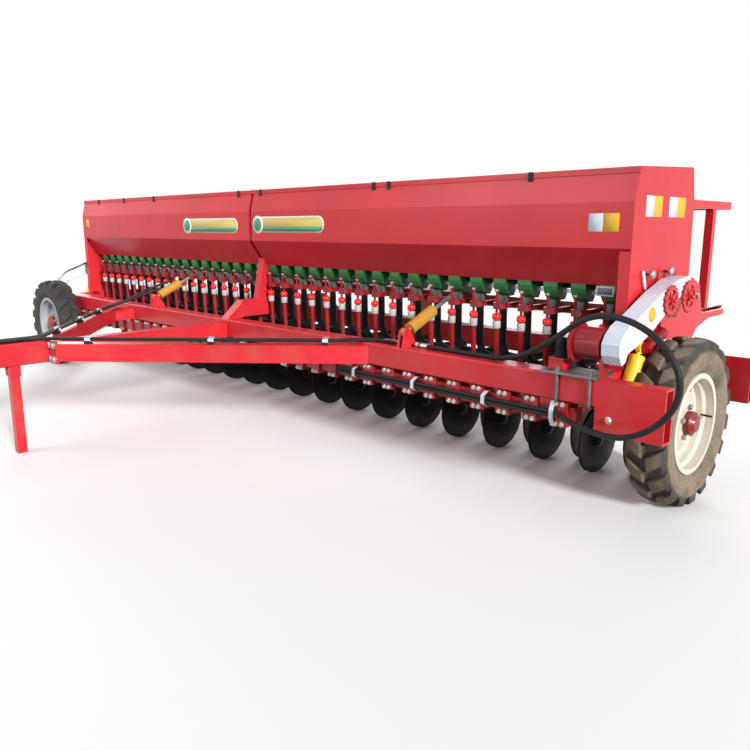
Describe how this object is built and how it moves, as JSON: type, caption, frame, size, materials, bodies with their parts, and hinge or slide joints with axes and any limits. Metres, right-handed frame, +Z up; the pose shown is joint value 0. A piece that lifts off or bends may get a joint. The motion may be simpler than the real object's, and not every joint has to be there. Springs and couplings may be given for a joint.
{
  "type": "towed seed drill",
  "caption": "Wide towed box seed drill with a lidded hopper, a row of double disc openers, a towing frame, a parking leg and endwise transport wheel.",
  "frame": {"origin": "on the ground under the middle of the drill's own box, measured without the free hose loop", "axes": "+X along the drill to its near end, +Y backwards away from the drawbar, +Z up"},
  "size_m": [6.3054, 3.608, 1.544],
  "materials": {
    "red_paint": "satin",
    "dark_red_paint": "satin",
    "green_plastic": "matte",
    "grey_plastic": "matte",
    "black_rubber": "matte",
    "disc_steel": "satin",
    "bright_steel": "satin",
    "ochre_paint": "satin",
    "yellow_paint": "satin",
    "white_paint": "satin",
    "dusty_tyre": "matte",
    "dark_tyre": "matte",
    "cream_paint": "satin"
  },
  "bodies": {
    "frame": {"front_beam": "red_paint", "rear_beam": "red_paint", "side_rails": "red_paint", "end_boxes": "red_paint", "centre_cradle": "red_paint", "centre_post": "red_paint", "hopper_near": "red_paint", "hopper_far": "red_paint", "end_plates": "red_paint", "meter_cups": "green_plastic", "feed_shaft": "bright_steel", "seed_funnels": "grey_plastic", "seed_tubes_near": "black_rubber", "seed_tubes_far": "black_rubber", "opener_bar": "red_paint", "opener_clamps": "red_paint", "bar_straps": "red_paint", "lift_brackets": "red_paint", "shaft_bearings": "red_paint", "arm_pivots": "dark_red_paint", "raise_stays": "dark_red_paint", "hose_loop": "black_rubber", "bar_hoses": "black_rubber", "drawbar_hoses": "black_rubber", "far_axle": "red_paint", "drawbar_arms": "red_paint", "drawbar_tongue": "red_paint", "drawbar_head": "red_paint", "towing_eye": "red_paint", "drive_drum": "dark_red_paint", "chain_guards": "white_paint", "seed_drive": "red_paint", "walkway": "red_paint", "walkway_brackets": "red_paint", "handrail": "red_paint"},
    "wheel_far": {"tyre_far": "dark_tyre", "rim_far": "cream_paint"},
    "wheel_near": {"tyre_near": "dusty_tyre", "rim_near": "cream_paint"},
    "jack": {"jack_leg": "red_paint"},
    "wheel_arm_near": {"wheel_arm_near": "red_paint"},
    "raise_barrel_near": {"raise_barrel_near": "yellow_paint"},
    "raise_rod_near": {"raise_rod_near": "bright_steel"},
    "openers_near": {"opener_arms_near": "red_paint", "opener_discs_near": "disc_steel"},
    "press_rods_near": {"press_rods_near": "dark_red_paint"},
    "rockshaft_near": {"rockshaft_near": "red_paint"},
    "lift_barrel_near": {"lift_barrel_near": "ochre_paint"},
    "lift_rod_near": {"lift_rod_near": "bright_steel"},
    "lid_near": {"lid_near": "red_paint"},
    "wheel_arm_far": {"wheel_arm_far": "red_paint"},
    "raise_barrel_far": {"raise_barrel_far": "yellow_paint"},
    "raise_rod_far": {"raise_rod_far": "bright_steel"},
    "openers_far": {"opener_arms_far": "red_paint", "opener_discs_far": "disc_steel"},
    "press_rods_far": {"press_rods_far": "dark_red_paint"},
    "rockshaft_far": {"rockshaft_far": "red_paint"},
    "lift_barrel_far": {"lift_barrel_far": "ochre_paint"},
    "lift_rod_far": {"lift_rod_far": "bright_steel"},
    "lid_far": {"lid_far": "red_paint"}
  },
  "joints": [
    {"name": "near_wheel_spin", "type": "hinge", "parent": "wheel_arm_near", "child": "wheel_near", "pos_m": [2.948, 0.884, 0.39], "axis": [1, 0, 0], "continuous": true},
    {"name": "far_wheel_spin", "type": "hinge", "parent": "frame", "child": "wheel_far", "pos_m": [-2.608, 0.218, 0.39], "axis": [0, 1, 0], "continuous": true},
    {"name": "jack_fold", "type": "hinge", "parent": "frame", "child": "jack", "pos_m": [0, -1.016, 0.471], "axis": [1, 0, 0], "range_deg": [0, 90]},
    {"name": "near_wheel_lift", "type": "hinge", "parent": "frame", "child": "wheel_arm_near", "pos_m": [2.819, 1.234, 0.56], "axis": [1, 0, 0], "range_deg": [0, 16]},
    {"name": "near_wheel_cylinder_swing", "type": "hinge", "parent": "frame", "child": "raise_barrel_near", "pos_m": [2.819, 0.689, 0.74], "axis": [1, 0, 0], "range_deg": [0, 17.63]},
    {"name": "near_wheel_cylinder", "type": "slide", "parent": "raise_barrel_near", "child": "raise_rod_near", "axis": [0, -0.4749, -0.88], "range_m": [0, 0.1624]},
    {"name": "near_openers", "type": "hinge", "parent": "frame", "child": "openers_near", "pos_m": [1.35, 0.484, 0.46], "axis": [1, 0, 0], "range_deg": [0, 10], "deforming": ["seed_tubes_near"]},
    {"name": "near_press_rods", "type": "hinge", "parent": "openers_near", "child": "press_rods_near", "pos_m": [1.35, 0.734, 0.49], "axis": [1, 0, 0], "range_deg": [-12.11, 0]},
    {"name": "near_rockshaft", "type": "hinge", "parent": "frame", "child": "rockshaft_near", "pos_m": [1.35, 0.944, 0.862], "axis": [1, 0, 0], "range_deg": [-11.53, 0]},
    {"name": "near_lift_cylinder_swing", "type": "hinge", "parent": "frame", "child": "lift_barrel_near", "pos_m": [1.667, 0.409, 0.716], "axis": [1, 0, 0], "range_deg": [-0.29, 0]},
    {"name": "near_lift_cylinder", "type": "slide", "parent": "lift_barrel_near", "child": "lift_rod_near", "axis": [0, 0.9107, 0.413], "range_m": [0, 0.0175]},
    {"name": "near_lid", "type": "hinge", "parent": "frame", "child": "lid_near", "pos_m": [1.35, 1.213, 1.535], "axis": [-1, 0, 0], "range_deg": [0, 95]},
    {"name": "far_wheel_lift", "type": "hinge", "parent": "frame", "child": "wheel_arm_far", "pos_m": [-2.819, 1.234, 0.56], "axis": [1, 0, 0], "range_deg": [0, 16]},
    {"name": "far_wheel_cylinder_swing", "type": "hinge", "parent": "frame", "child": "raise_barrel_far", "pos_m": [-2.819, 0.689, 0.74], "axis": [1, 0, 0], "range_deg": [0, 17.63]},
    {"name": "far_wheel_cylinder", "type": "slide", "parent": "raise_barrel_far", "child": "raise_rod_far", "axis": [0, -0.4749, -0.88], "range_m": [0, 0.1624]},
    {"name": "far_openers", "type": "hinge", "parent": "frame", "child": "openers_far", "pos_m": [-1.35, 0.484, 0.46], "axis": [1, 0, 0], "range_deg": [0, 10], "deforming": ["seed_tubes_far"]},
    {"name": "far_press_rods", "type": "hinge", "parent": "openers_far", "child": "press_rods_far", "pos_m": [-1.35, 0.734, 0.49], "axis": [1, 0, 0], "range_deg": [-12.11, 0]},
    {"name": "far_rockshaft", "type": "hinge", "parent": "frame", "child": "rockshaft_far", "pos_m": [-1.35, 0.944, 0.862], "axis": [1, 0, 0], "range_deg": [-11.53, 0]},
    {"name": "far_lift_cylinder_swing", "type": "hinge", "parent": "frame", "child": "lift_barrel_far", "pos_m": [-1.033, 0.409, 0.716], "axis": [1, 0, 0], "range_deg": [-0.29, 0]},
    {"name": "far_lift_cylinder", "type": "slide", "parent": "lift_barrel_far", "child": "lift_rod_far", "axis": [0, 0.9107, 0.413], "range_m": [0, 0.0175]},
    {"name": "far_lid", "type": "hinge", "parent": "frame", "child": "lid_far", "pos_m": [-1.35, 1.213, 1.535], "axis": [-1, 0, 0], "range_deg": [0, 95]}
  ],
  "couplings": [
    {"joint": "near_wheel_cylinder_swing", "follows": "near_wheel_lift", "ratio": 1.0698},
    {"joint": "near_wheel_cylinder", "follows": "near_wheel_lift", "m_per_rad": 0.5701},
    {"joint": "near_press_rods", "follows": "near_openers", "ratio": -1.1755},
    {"joint": "near_rockshaft", "follows": "near_openers", "ratio": -1.119},
    {"joint": "near_lift_cylinder_swing", "follows": "near_openers", "ratio": -0.02768},
    {"joint": "near_lift_cylinder", "follows": "near_openers", "m_per_rad": 0.097521},
    {"joint": "far_wheel_cylinder_swing", "follows": "far_wheel_lift", "ratio": 1.0698},
    {"joint": "far_wheel_cylinder", "follows": "far_wheel_lift", "m_per_rad": 0.5701},
    {"joint": "far_press_rods", "follows": "far_openers", "ratio": -1.1755},
    {"joint": "far_rockshaft", "follows": "far_openers", "ratio": -1.119},
    {"joint": "far_lift_cylinder_swing", "follows": "far_openers", "ratio": -0.02768},
    {"joint": "far_lift_cylinder", "follows": "far_openers", "m_per_rad": 0.097521}
  ]
}
